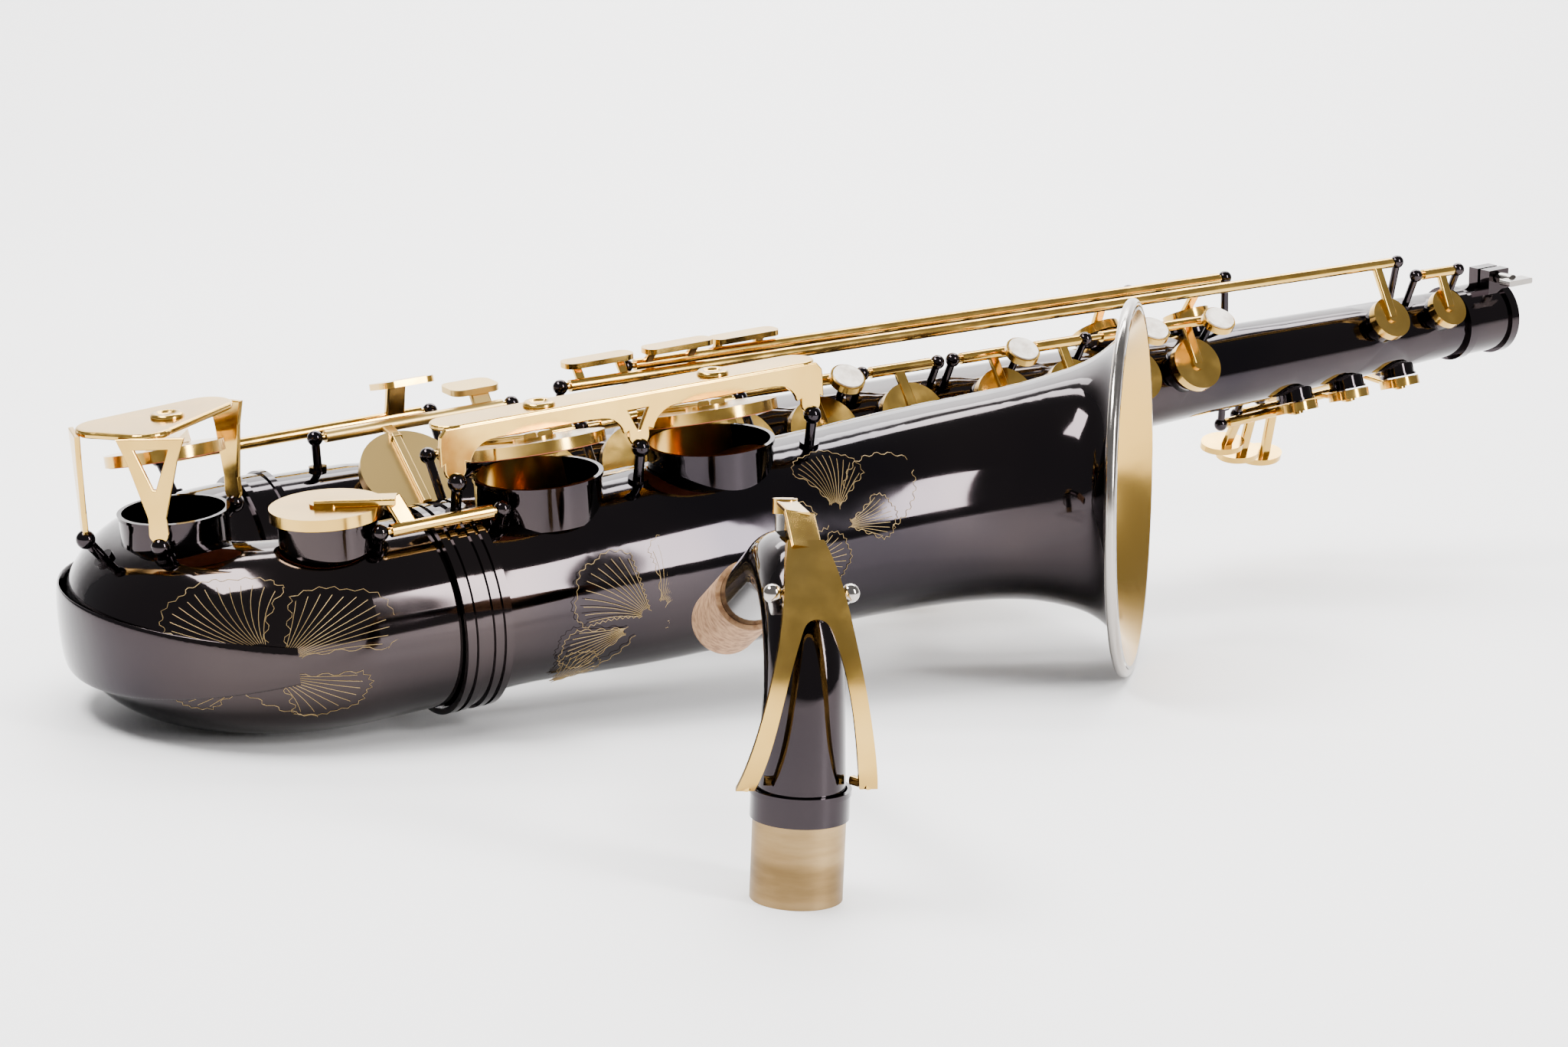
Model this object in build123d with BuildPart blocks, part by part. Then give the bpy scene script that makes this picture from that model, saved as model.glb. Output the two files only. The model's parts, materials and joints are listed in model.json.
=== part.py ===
"""Alto saxophone lying on its left side, with its neck taken off and standing in front of the bell.

Horn frame, used while the horn is built: X runs up the body tube from the bow joint, -Y points to the bell,
+Z is the player's right side, which lies uppermost. Angles round the body tube start at the front (-Y) and
grow towards the right side (+Z). The finished horn is then laid on the floor by one location.
"""
from build123d import *
import os
from math import atan2, cos, degrees, radians, sin, sqrt

# ---------------------------------------------------------------- driving dimensions, millimetres and degrees
WALL = 1.0
BODY_LENGTH = 545.0
BODY_FOOT_RADIUS = 27.0
BODY_TOP_RADIUS = 13.6
BOW_WIDTH = 86.0
BELL_LENGTH = 258.0
BELL_STRAIGHT = 142.0
BELL_TURN = 43.5
BELL_QUICKENING = 1.84
AXIS_STEPS = 40
BELL_FOOT_X = 34.0
BOW_OUT_RADIUS = 30.4
RIM_RADIUS = 64.0
RIM_BEAD = 2.0
RECEIVER_LENGTH = 27.0
RECEIVER_BORE = 12.4
RECEIVER_RADIUS = 14.6
TENON_RADIUS = 12.3
TENON_LENGTH = 22.0
TILT = 6.94
ROLL = 3.0
ROD = 1.2
TUBE = 2.1
BORE = 1.25
GAP = 0.3
CHIMNEY_WALL = 0.9
CHIMNEY_RISE = 3.5
CUP_DEPTH = 3.6
PAD_DEPTH = 2.4
NECK_FOOT = (44.0, -287.0)
NECK_HEADING = 70.0

pieces = {}
hinges = {}


def body_radius(x):
    """Outer radius of the body tube's cone at height x."""
    return BODY_FOOT_RADIUS + (BODY_TOP_RADIUS - BODY_FOOT_RADIUS) * x / BODY_LENGTH


def outward(angle):
    """Unit vector that points away from the body tube at an angle round it."""
    return Vector(0, -cos(radians(angle)), sin(radians(angle)))


def plane_at(centre, normal):
    """Plane through a point, square to a direction."""
    normal = Vector(*normal).normalized()
    side = Vector(1, 0, 0)
    if abs(normal.dot(side)) > 0.9:
        side = Vector(0, 0, 1)
    side = side - normal * normal.dot(side)
    return Plane(origin=centre, x_dir=side, z_dir=normal)


def circle_on(plane, radius):
    """Round section on a plane, for a loft."""
    with BuildSketch(plane) as section:
        Circle(radius)
    return section.sketch


def rod_between(start, end, radius, mode=Mode.ADD):
    """Round bar from one point to another."""
    way = Vector(*end) - Vector(*start)
    with BuildSketch(plane_at(start, way)) as section:
        Circle(radius)
    extrude(section.sketch, amount=way.length, mode=mode)


def bar_between(start, end, wide, thick):
    """Flat bar from one point to another, with its width near the X axis."""
    way = Vector(*end) - Vector(*start)
    with BuildSketch(plane_at(start, way)) as section:
        RectangleRounded(wide, thick, 0.3 * min(wide, thick))
    extrude(section.sketch, amount=way.length)


def ball_at(centre, radius):
    """Ball centred on a point."""
    with Locations(centre):
        Sphere(radius)


def disc_at(centre, normal, radius, depth, mode=Mode.ADD):
    """Disc that starts on a plane and grows along its normal."""
    with BuildSketch(plane_at(centre, normal)) as section:
        Circle(radius)
    extrude(section.sketch, amount=depth, mode=mode)


def keep(builder, name):
    """Label a finished piece and file it under its name."""
    builder.part.label = name
    pieces[name] = builder.part


# ---------------------------------------------------------------- tone holes: x, angle, hole radius
BODY_HOLES = {
    "low_eb": (55.0, 52.0, 14.0),
    "d": (98.0, 25.0, 14.0),
    "e": (138.0, 25.0, 13.5),
    "f": (177.0, 25.0, 12.5),
    "fsharp": (213.0, 25.0, 11.5),
    "gsharp": (232.0, -65.0, 9.5),
    "g": (252.0, 25.0, 10.8),
    "a": (294.0, 25.0, 10.0),
    "bis": (326.0, 25.0, 8.5),
    "b": (356.0, 25.0, 8.2),
    "c": (386.0, 25.0, 7.8),
    "side_bb": (366.0, 125.0, 7.5),
    "side_c": (408.0, 115.0, 7.2),
    "high_e": (492.0, 35.0, 6.5),
    "high_fsharp": (524.0, 35.0, 6.0),
    "palm_d": (452.0, -72.0, 6.5),
    "palm_eb": (480.0, -72.0, 6.2),
    "palm_f": (508.0, -72.0, 6.0),
}
BELL_Y = -BOW_WIDTH
BOW_HOLES = {"low_c": (-37.0, -47.0, 16.0), "low_csharp": (-2.0, BELL_Y, 14.5)}
BELL_HOLES = {"low_b": (70.0, BELL_Y, 19.5), "low_bb": (133.0, BELL_Y, 20.0)}


def seat(name):
    """Centre of a tone hole's rim, the way its chimney points, and the hole's radius."""
    if name in BODY_HOLES:
        x, angle, radius = BODY_HOLES[name]
        way = outward(angle)
        height = body_radius(x) + CHIMNEY_RISE
        return Vector(x, way.Y * height, way.Z * height), way, radius
    if name in BOW_HOLES:
        x, y, radius = BOW_HOLES[name]
        return Vector(x, y, 36.0), Vector(0, 0, 1), radius
    x, y, radius = BELL_HOLES[name]
    return Vector(x, y, 37.5), Vector(0, 0, 1), radius


def chimneys(names, depth):
    """Chimney walls, each one reaching down into the tube's wall."""
    for name in names:
        rim, way, radius = seat(name)
        disc_at(rim - way * depth, way, radius + CHIMNEY_WALL, depth)


def chimney_rims(names, bead):
    """Rolled edge at each chimney's mouth."""
    for name in names:
        rim, way, radius = seat(name)
        disc_at(rim - way * bead, way, radius + CHIMNEY_WALL + 0.5, bead)


def chimney_bores(names, depth):
    """Open bore of each chimney, through the tube's wall below it."""
    for name in names:
        rim, way, radius = seat(name)
        disc_at(rim - way * depth, way, radius, depth + 1.0, mode=Mode.SUBTRACT)


# ---------------------------------------------------------------- tubes
with BuildPart() as body_tube:
    with BuildSketch(Plane.YZ):
        Circle(BODY_FOOT_RADIUS)
    with BuildSketch(Plane.YZ.offset(BODY_LENGTH)):
        Circle(BODY_TOP_RADIUS)
    loft()
    chimneys(BODY_HOLES, 12.0)
    chimney_rims(BODY_HOLES, 1.0)
    with BuildSketch(Plane.YZ):
        Circle(BODY_FOOT_RADIUS - WALL)
    with BuildSketch(Plane.YZ.offset(BODY_LENGTH)):
        Circle(BODY_TOP_RADIUS - WALL)
    loft(mode=Mode.SUBTRACT)
    chimney_bores(BODY_HOLES, 12.0)
keep(body_tube, "body_tube")


def bow_plane(turn):
    """Plane square to the bow's centre line, after a turn of 0 to 180 degrees from the body joint."""
    half = BOW_WIDTH / 2
    a = radians(turn)
    return plane_at((-half * sin(a), -half + half * cos(a), 0), (-cos(a), -sin(a), 0))


def bow_radius(turn):
    """Outer radius of the bow's tube after a turn."""
    return BODY_FOOT_RADIUS + (BOW_OUT_RADIUS - BODY_FOOT_RADIUS) * turn / 180


def bow_solid(shrink, mode=Mode.ADD):
    """Bow from the body joint round to the bell joint, made smaller by a wall."""
    loft([circle_on(bow_plane(turn), bow_radius(turn) - shrink) for turn in range(0, 181, 20)], mode=mode)
    rod_between((0, BELL_Y, 0), (BELL_FOOT_X, BELL_Y, 0), BOW_OUT_RADIUS - shrink, mode=mode)


with BuildPart() as bow:
    bow_solid(0)
    chimneys(BOW_HOLES, 14.0)
    chimney_rims(BOW_HOLES, 1.0)
    bow_solid(WALL, mode=Mode.SUBTRACT)
    chimney_bores(BOW_HOLES, 14.0)
keep(bow, "bow")

# Bell: distance along the axis and outer radius there.
BELL_PROFILE = ((0, 31.0), (60, 31.8), (120, 32.8), (165, 34.0), (200, 35.8), (222, 38.4), (236, 42.0),
                (246, 47.0), (252.5, 53.4), (256, 58.8), (BELL_LENGTH, RIM_RADIUS - 1.0))


def bell_plane(distance):
    """Plane square to the bell's axis, which is straight at first and then turns away from the body, faster towards the rim."""
    if distance <= BELL_STRAIGHT:
        return plane_at((BELL_FOOT_X + distance, BELL_Y, 0), (1, 0, 0))
    bend = BELL_LENGTH - BELL_STRAIGHT
    share = (distance - BELL_STRAIGHT) / bend
    centre = Vector(BELL_FOOT_X + BELL_STRAIGHT, BELL_Y, 0)
    for step in range(AXIS_STEPS):
        turn = radians(BELL_TURN * (share * (step + 0.5) / AXIS_STEPS) ** BELL_QUICKENING)
        centre += Vector(cos(turn), -sin(turn), 0) * (share * bend / AXIS_STEPS)
    turn = radians(BELL_TURN * share ** BELL_QUICKENING)
    return plane_at(centre, (cos(turn), -sin(turn), 0))


def bell_solid(shrink, mode=Mode.ADD):
    """Bell's outer form, made smaller by a wall."""
    loft([circle_on(bell_plane(distance), radius - shrink) for distance, radius in BELL_PROFILE], mode=mode)


with BuildPart() as bell:
    bell_solid(0)
    chimneys(BELL_HOLES, 14.0)
    chimney_rims(BELL_HOLES, 1.2)
    bell_solid(WALL, mode=Mode.SUBTRACT)
    chimney_bores(BELL_HOLES, 14.0)
keep(bell, "bell")

RIM = bell_plane(BELL_LENGTH)
with BuildPart() as bell_rim:
    with BuildSketch(Plane(origin=RIM.origin, x_dir=RIM.x_dir, z_dir=RIM.y_dir)):
        with Locations((RIM_RADIUS, RIM_BEAD + 0.02)):
            Circle(RIM_BEAD)
    revolve(axis=Axis(RIM.origin, RIM.z_dir))
keep(bell_rim, "bell_rim")


def band(start, length, inner, bulges):
    """Ring band round a straight stretch of tube, with raised bands on it."""
    rod_between(start, start + Vector(length, 0, 0), inner + 1.1)
    for place in bulges:
        rod_between(start + Vector(place, 0, 0), start + Vector(place + 2.2, 0, 0), inner + 1.9)
    rod_between(start, start + Vector(length, 0, 0), inner + 0.02, mode=Mode.SUBTRACT)


with BuildPart() as bow_bell_ring:
    band(Vector(BELL_FOOT_X - 7, BELL_Y, 0), 16.0, 31.4, (0.0, 3.6, 9.4, 13.0))
keep(bow_bell_ring, "bow_bell_ring")

with BuildPart() as body_bow_ring:
    band(Vector(0.3, 0, 0), 12.0, BODY_FOOT_RADIUS, (0.0, 9.8))
keep(body_bow_ring, "body_bow_ring")

with BuildPart() as neck_receiver:
    top = BODY_LENGTH - 6.0
    rod_between((top, 0, 0), (top + RECEIVER_LENGTH, 0, 0), RECEIVER_RADIUS)
    rod_between((top, 0, 0), (top + 4.0, 0, 0), RECEIVER_RADIUS + 1.0)
    rod_between((top + RECEIVER_LENGTH - 4.0, 0, 0), (top + RECEIVER_LENGTH, 0, 0), RECEIVER_RADIUS + 1.3)
    with Locations((top + RECEIVER_LENGTH - 6.0, -3.0, RECEIVER_RADIUS + 2.0)):
        Box(11, 12, 10)
    rod_between((top - 1, 0, 0), (top + 6.02, 0, 0), BODY_TOP_RADIUS + 0.02 + 0.17, mode=Mode.SUBTRACT)
    rod_between((top, 0, 0), (top + RECEIVER_LENGTH + 1, 0, 0), RECEIVER_BORE, mode=Mode.SUBTRACT)
    with Locations((top + RECEIVER_LENGTH - 6.0, -3.0, RECEIVER_RADIUS + 3.0)):
        Box(13, 1.6, 12, mode=Mode.SUBTRACT)
    SCREW = Vector(top + RECEIVER_LENGTH - 6.0, -3.0, RECEIVER_RADIUS + 3.6)
    rod_between(SCREW - Vector(0, 9, 0), SCREW + Vector(0, 9, 0), 1.85, mode=Mode.SUBTRACT)
keep(neck_receiver, "neck_receiver")

with BuildPart() as clamp_screw:
    rod_between(SCREW - Vector(0, 7.5, 0), SCREW + Vector(0, 6.6, 0), 1.8)
    rod_between(SCREW - Vector(0, 14, 0), SCREW - Vector(0, 7, 0), 2.4)
    bar_between(SCREW - Vector(0, 13.0, 0), SCREW - Vector(0, 19, 0), 13.0, 2.4)
keep(clamp_screw, "clamp_screw")
hinges["clamp_screw"] = (SCREW, Vector(0, -1, 0))

# ---------------------------------------------------------------- hinge lines
SIDE_E = (-8.0, 18.0)
SIDE_C = (0.0, 20.0)
SIDE_BB = (8.0, 18.0)
STACK = (-17.0, 8.5)


def right_line(x, line):
    """Point on a line that follows the body's right side: y, and height above the tube's surface."""
    return Vector(x, line[0], body_radius(x) + line[1])


def left_line(x, line):
    """Point on a line that follows the body's left side."""
    return Vector(x, line[0], -body_radius(x) - line[1])


def bell_line(x, y, z):
    """Point on a hinge line beside the bell, parallel to X."""
    return Vector(x, y, z)


POST_SHARE = 6.4
posts = []
rods = []


def hinge_on(name, start, end):
    """Name a key's hinge and note its rod and its ball posts; close neighbours share one post."""
    way = (end - start).normalized()
    hinges[name] = (start, way)
    rods.append((start - way * 5.5, end + way * 5.5))
    for point in (start - way * 3.6, end + way * 3.6):
        if all((point - other).length > POST_SHARE for other in posts):
            posts.append(point)


def key_tube(start, end):
    """Outside of a key's hinge tube; it is bored at the end."""
    rod_between(start, end, TUBE)


def bore_tube(start, end):
    """Running bore of a hinge tube, clear of its rod."""
    way = (end - start).normalized()
    rod_between(start - way, end + way, BORE, mode=Mode.SUBTRACT)


def cup_on(name, margin=2.6):
    """Closed pad cup over a tone hole, with the seat for its pad, and the point where its arm lands."""
    rim, way, radius = seat(name)
    disc_at(rim + way * GAP * 2, way, radius + margin, CUP_DEPTH)
    disc_at(rim + way * (GAP * 2 + CUP_DEPTH), way, 0.36 * radius, 0.9)
    disc_at(rim, way, radius + margin - 1.1, GAP * 2 + PAD_DEPTH, mode=Mode.SUBTRACT)
    return rim + way * (GAP * 2 + CUP_DEPTH + 0.2)


def pad_for(name, margin=2.6):
    """Pad that fills a closed cup's seat and stands a little proud of it."""
    rim, way, radius = seat(name)
    disc_at(rim + way * GAP, way, radius + margin - 1.15, GAP + PAD_DEPTH)


def pearl_on(centre, way, radius=6.5):
    """Gold cup of a finger pearl."""
    disc_at(centre, way, radius, 2.6)
    disc_at(centre + Vector(*way) * 1.2, way, radius - 0.8, 2.0, mode=Mode.SUBTRACT)


def pose(builder, name, hinge, angle):
    """File a piece turned about its key's hinge, so that an open key is stored open."""
    builder.part.label = name
    start, way = hinges[hinge]
    pieces[name] = builder.part.rotate(Axis(start, way), angle)
    pieces[name].label = name


# ---------------------------------------------------------------- bell and bow keys
OPEN_BELL = -13.0
OPEN_C = -13.0
BELL_HINGE = (BELL_Y + 29.0, 41.0)
LOW_B_SPAN = (49.0, 97.0)
LOW_BB_SPAN = (107.6, 158.0)
for name, span in (("low_b", LOW_B_SPAN), ("low_bb", LOW_BB_SPAN)):
    first = bell_line(span[0], *BELL_HINGE)
    last = bell_line(span[1], *BELL_HINGE)
    hinge_on(name, first, last)
    with BuildPart() as key:
        key_tube(first, last)
        landing = cup_on(name, 3.0)
        for side in (-9, 9):
            foot = bell_line(landing.X + side, *BELL_HINGE) + Vector(0, 0, 1.2)
            bar_between(foot, landing + Vector(0.3 * side, -3, 0.9), 5.0, 2.4)
        bore_tube(first, last)
    pose(key, name + "_key", name, OPEN_BELL)
    with BuildPart() as pad:
        pad_for(name, 3.0)
    pose(pad, name + "_pad", name, OPEN_BELL)

C_HINGE = (21.0, 34.0)
C_SPAN = (-14.0, 78.0)
first = bell_line(C_SPAN[0], *C_HINGE)
last = bell_line(C_SPAN[1], *C_HINGE)
hinge_on("low_c", first, last)
with BuildPart() as low_c_key:
    key_tube(first, last)
    landing = cup_on("low_c")
    bar_between(bell_line(-8, *C_HINGE), Vector(-20, -12, 44.5), 6.0, 2.8)
    bar_between(Vector(-19, -10, 44.5), landing + Vector(-2, -4, 0.6), 6.0, 2.6)
    bar_between(bell_line(68, *C_HINGE), Vector(68, 15, 45.0), 7.0, 2.6)
    with BuildSketch(Plane.XY.offset(44.6)):
        with Locations((67, 7)):
            RectangleRounded(20, 16, 4)
    extrude(amount=2.2)
    bore_tube(first, last)
pose(low_c_key, "low_c_key", "low_c", OPEN_C)
with BuildPart() as low_c_pad:
    pad_for("low_c")
pose(low_c_pad, "low_c_pad", "low_c", OPEN_C)

EB_HINGE = (1.0, 37.0)
EB_SPAN = (34.0, 100.0)
first = bell_line(EB_SPAN[0], *EB_HINGE)
last = bell_line(EB_SPAN[1], *EB_HINGE)
hinge_on("low_eb", first, last)
with BuildPart() as low_eb_key:
    key_tube(first, last)
    rim, way, radius = seat("low_eb")
    disc_at(rim + way * GAP * 2, way, radius + 3.2, CUP_DEPTH)
    disc_at(rim, way, radius + 2.1, GAP * 2 + PAD_DEPTH, mode=Mode.SUBTRACT)
    landing = rim + way * (GAP * 2 + CUP_DEPTH + 0.1)
    down = Vector(0, -way.Z, way.Y)
    bar_between(landing - down * 15.5 + way * 0.7, landing + down * 14.0 + way * 0.7, 3.0, 1.8)
    bar_between(bell_line(56, *EB_HINGE), landing - down * 13.5 + way * 1.0, 4.0, 1.8)
    bar_between(bell_line(93, *EB_HINGE), Vector(93, 5, 42.4), 7.0, 2.4)
    with BuildSketch(Plane.XY.offset(42.0)):
        with Locations((92, 9)):
            RectangleRounded(18, 14, 4)
    extrude(amount=2.2)
    bore_tube(first, last)
keep(low_eb_key, "low_eb_key")
CSHARP_HINGE = (BELL_Y - 15.5, 32.8)
CSHARP_SPAN = (12.0, 46.0)
first = bell_line(CSHARP_SPAN[0], *CSHARP_HINGE)
last = bell_line(CSHARP_SPAN[1], *CSHARP_HINGE)
hinge_on("low_csharp", first, last)
with BuildPart() as low_csharp_key:
    key_tube(first, last)
    landing = cup_on("low_csharp", 3.0)
    bar_between(bell_line(18, *CSHARP_HINGE), Vector(15, BELL_Y - 11, 41.4), 6.0, 2.6)
    bar_between(Vector(16, BELL_Y - 12, 41.2), landing + Vector(-3, 1, 0.9), 7.0, 2.4)
    bore_tube(first, last)
keep(low_csharp_key, "low_csharp_key")
with BuildPart() as low_csharp_pad:
    pad_for("low_csharp", 3.0)
keep(low_csharp_pad, "low_csharp_pad")

# ---------------------------------------------------------------- main stack keys, stored open
OPEN_STACK = -8.0
STACK_KEYS = {
    "d_key": (("d",), 86.0, 112.0, 20.0),
    "e_key": (("e",), 123.0, 152.0, 20.0),
    "f_key": (("f", "fsharp"), 163.0, 226.0, 20.0),
    "g_key": (("g",), 240.0, 266.0, 0.0),
    "a_key": (("a",), 280.0, 303.0, 18.0),
    "bis_key": (("bis",), 314.0, 334.0, 0.0),
    "b_key": (("b",), 345.0, 364.0, 17.0),
    "c_key": (("c",), 375.0, 396.0, 16.0),
}
PEARL_WAY = outward(50)
for name, (cups, low, high, pearl) in STACK_KEYS.items():
    first = right_line(low, STACK)
    last = right_line(high, STACK)
    hinge_on(name, first, last)
    with BuildPart() as key:
        key_tube(first, last)
        for cup in cups:
            landing = cup_on(cup)
            bar_between(right_line(landing.X, STACK), landing, 4.0, 2.0)
        if pearl:
            stand = right_line(high - 4.0, STACK) + PEARL_WAY * 2.0 + outward(-10) * 11.0
            bar_between(right_line(high - 4.0, STACK), stand + PEARL_WAY * 1.0, 4.0, 2.0)
            pearl_on(stand, PEARL_WAY)
        bore_tube(first, last)
    pose(key, name, name, OPEN_STACK)
    if pearl:
        with BuildPart() as shell:
            disc_at(stand + PEARL_WAY * 1.2, PEARL_WAY, 5.65, 2.0)
        pose(shell, name.replace("key", "pearl"), name, OPEN_STACK)

# ---------------------------------------------------------------- side keys: long tubes on the right side
SIDE_KEYS = {
    "high_e_key": ("high_e", SIDE_E, 122.0, 500.0, 9.0),
    "side_c_key": ("side_c", SIDE_C, 152.0, 416.0, -11.0),
    "side_bb_key": ("side_bb", SIDE_BB, 184.0, 374.0, -11.0),
}
for name, (cup, line, low, high, reach) in SIDE_KEYS.items():
    first = right_line(low, line)
    last = right_line(high, line)
    hinge_on(name, first, last)
    with BuildPart() as key:
        key_tube(first, last)
        landing = cup_on(cup, 2.2)
        bar_between(right_line(landing.X, line), landing, 4.0, 2.2)
        touch = right_line(low + 14.0, line) + Vector(0, 0.6 * reach, 5.5)
        for step in (5.0, 22.0):
            foot = right_line(low + step, line)
            bar_between(foot, foot + Vector(0, 0.5 * reach, 5.8), 3.2, 2.0)
        with BuildSketch(plane_at(touch, (0, 0, 1))):
            RectangleRounded(27, 9, 3.5)
        extrude(amount=2.0)
        bore_tube(first, last)
    keep(key, name)

HIGH_FSHARP_LINE = (-12.0, 12.0)
first = right_line(514.0, HIGH_FSHARP_LINE)
last = right_line(530.0, HIGH_FSHARP_LINE)
hinge_on("high_fsharp_key", first, last)
with BuildPart() as high_fsharp_key:
    key_tube(first, last)
    landing = cup_on("high_fsharp", 2.2)
    bar_between(right_line(landing.X, HIGH_FSHARP_LINE), landing, 4.0, 2.0)
    bore_tube(first, last)
keep(high_fsharp_key, "high_fsharp_key")

# ---------------------------------------------------------------- palm keys on the left side
PALM_KEYS = {
    "palm_d_key": ("palm_d", (3.0, 8.0), 424.0, 458.0, 12.0),
    "palm_eb_key": ("palm_eb", (10.0, 8.0), 438.0, 486.0, 20.0),
    "palm_f_key": ("palm_f", (17.0, 6.0), 456.0, 514.0, 28.0),
}
for name, (cup, line, low, high, drop) in PALM_KEYS.items():
    first = left_line(low, line)
    last = left_line(high, line)
    hinge_on(name, first, last)
    with BuildPart() as key:
        key_tube(first, last)
        landing = cup_on(cup, 2.2)
        bar_between(left_line(landing.X, line), landing, 4.0, 2.0)
        foot = left_line(low + 5.0, line)
        tip = foot + Vector(0, 7.0, -drop)
        bar_between(foot, tip, 4.5, 2.4)
        with BuildSketch(plane_at(tip + Vector(0, 2.0, 1.5), (0, 0.3, -1))) as plate:
            Ellipse(10.0, 7.0)
        extrude(plate.sketch, amount=2.6)
        bore_tube(first, last)
    keep(key, name)

# ---------------------------------------------------------------- little-finger table on the left side
GSHARP_LINE = (4.0, 9.0)
TABLE_LINE = (15.0, 7.0)
first = left_line(226.0, GSHARP_LINE)
last = left_line(284.0, GSHARP_LINE)
hinge_on("gsharp_key", first, last)
with BuildPart() as gsharp_key:
    key_tube(first, last)
    landing = cup_on("gsharp")
    bar_between(left_line(landing.X, GSHARP_LINE), landing, 4.0, 2.0)
    foot = left_line(270.0, GSHARP_LINE)
    bar_between(foot, foot + Vector(0, 9, -18), 5.0, 2.4)
    with BuildSketch(plane_at(foot + Vector(0, 10, -16.5), (0, 0, -1))) as plate:
        RectangleRounded(23, 17, 5)
    extrude(plate.sketch, amount=2.2)
    bore_tube(first, last)
keep(gsharp_key, "gsharp_key")

TABLE_TOUCHES = {"table_bb_touch": (286.0, 299.0), "table_b_touch": (309.0, 320.0), "table_csharp_touch": (330.0, 342.0)}
for name, (low, high) in TABLE_TOUCHES.items():
    first = left_line(low, TABLE_LINE)
    last = left_line(high, TABLE_LINE)
    hinge_on(name, first, last)
    with BuildPart() as key:
        key_tube(first, last)
        foot = left_line((low + high) / 2, TABLE_LINE)
        bar_between(foot, foot + Vector(0, 12, -26), 4.5, 2.4)
        with BuildSketch(plane_at(foot + Vector(0, 14, -24.5), (0, 0, -1))) as plate:
            RectangleRounded(16, 13, 4)
        extrude(plate.sketch, amount=2.4)
        bore_tube(first, last)
    keep(key, name)

# ---------------------------------------------------------------- octave mechanism on the body's back
def back_point(x, z, rise):
    """Point behind the body tube, at a height above its back line."""
    return Vector(x, body_radius(x) + rise, z)


first = back_point(402.0, -9.0, 7.0)
last = back_point(424.0, -9.0, 7.0)
hinge_on("thumb_lever", first, last)
with BuildPart() as thumb_lever:
    key_tube(first, last)
    bar_between(back_point(410.0, -9.0, 7.0), back_point(400.0, 4.0, 9.0), 9.0, 2.4)
    with BuildSketch(plane_at(back_point(394.0, 6.0, 7.6), (0, 1, 0))):
        RectangleRounded(22, 12, 5)
    extrude(amount=2.2)
    bore_tube(first, last)
keep(thumb_lever, "thumb_lever")

first = back_point(450.0, 3.0, 7.0)
last = back_point(530.0, 3.0, 7.0)
hinge_on("octave_key", first, last)
with BuildPart() as octave_key:
    key_tube(first, last)
    bar_between(back_point(472.0, 3.0, 7.0), back_point(472.0, -6.5, 3.4), 4.0, 2.0)
    disc_at(back_point(472.0, -6.5, 1.2), (0, 1, 0), 3.4, 2.6)
    pin = back_point(526.0, -5.0, 7.5)
    bar_between(back_point(526.0, 3.0, 7.0), pin, 4.0, 2.2)
    rod_between(pin, pin + Vector(48, 0, 0), 1.5)
    bore_tube(first, last)
keep(octave_key, "octave_key")

# ---------------------------------------------------------------- posts, rods, guards and small fittings
POST_BALL = 2.7
GUARD_BALL = 3.0
FOOT_SINK = 0.4
RING_RADIUS = 32.4


def surface_below(point):
    """Point in the wall of the bow, body or bell tube, straight below a hinge point."""
    if point.X < 0:
        turn = atan2(-point.X, point.Y + BOW_WIDTH / 2)
        centre = Vector(-BOW_WIDTH / 2 * sin(turn), BOW_WIDTH / 2 * (cos(turn) - 1), 0)
        radius = bow_radius(degrees(turn))
    elif point.Y > BELL_Y / 2:
        centre = Vector(point.X, 0, 0)
        radius = body_radius(point.X)
    else:
        centre = Vector(point.X, BELL_Y, 0)
        radius = BOW_OUT_RADIUS if point.X < BELL_FOOT_X - 7 else 31.0 + 0.015 * (point.X - BELL_FOOT_X)
        if BELL_FOOT_X - 7 < point.X < BELL_FOOT_X + 9:
            radius = RING_RADIUS
    return centre + (point - centre).normalized() * (radius - FOOT_SINK)


with BuildPart() as hinge_rods:
    for start, end in rods:
        rod_between(start, end, ROD)
keep(hinge_rods, "hinge_rods")

# Guard over the two bell keys: a channel with a leg at each end and one between the cups.
GUARD_Z = 58.0
GUARD_Y = BELL_Y - 7.5
GUARD_LEGS = (37.0, 101.5, 166.0)
with BuildPart() as bell_key_guard:
    with BuildSketch(Plane.XY.offset(GUARD_Z)):
        with Locations((101.5, GUARD_Y + 4)):
            SlotOverall(136, 13)
    extrude(amount=2.4)
    with BuildSketch(Plane.XZ.offset(-(GUARD_Y - 2.5))):
        with Locations((101.5, GUARD_Z - 0.5)):
            Rectangle(126, 5)
    extrude(amount=1.6)
    for place in GUARD_LEGS:
        bar_between(Vector(place, GUARD_Y - 1.5, GUARD_Z + 1), Vector(place, GUARD_Y - 3.5, 45.5), 9.0, 1.8)
keep(bell_key_guard, "bell_key_guard")

# Guard over the low C key: a rounded plate on three legs.
C_GUARD_LEGS = ((-65.0, -45.0), (-49.0, -67.5), (-13.0, -36.0))
with BuildPart() as low_c_guard:
    with BuildSketch(Plane.XY.offset(64.0)):
        with Locations((-37, -50)):
            Circle(12.5)
        for x, y in C_GUARD_LEGS:
            with Locations(Vector(0.5 * (x - 37), 0.5 * (y - 50))):
                Circle(5.0)
        make_hull()
    extrude(amount=2.4)
    for x, y in C_GUARD_LEGS:
        start = Vector(0.55 * x - 0.45 * 37, 0.55 * y - 0.45 * 50, 65.0)
        bar_between(start, Vector(x, y, 62.0), 7.0, 2.2)
        bar_between(Vector(x, y, 63.5), Vector(x, y, 34.0), 6.0, 1.8)
keep(low_c_guard, "low_c_guard")

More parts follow.
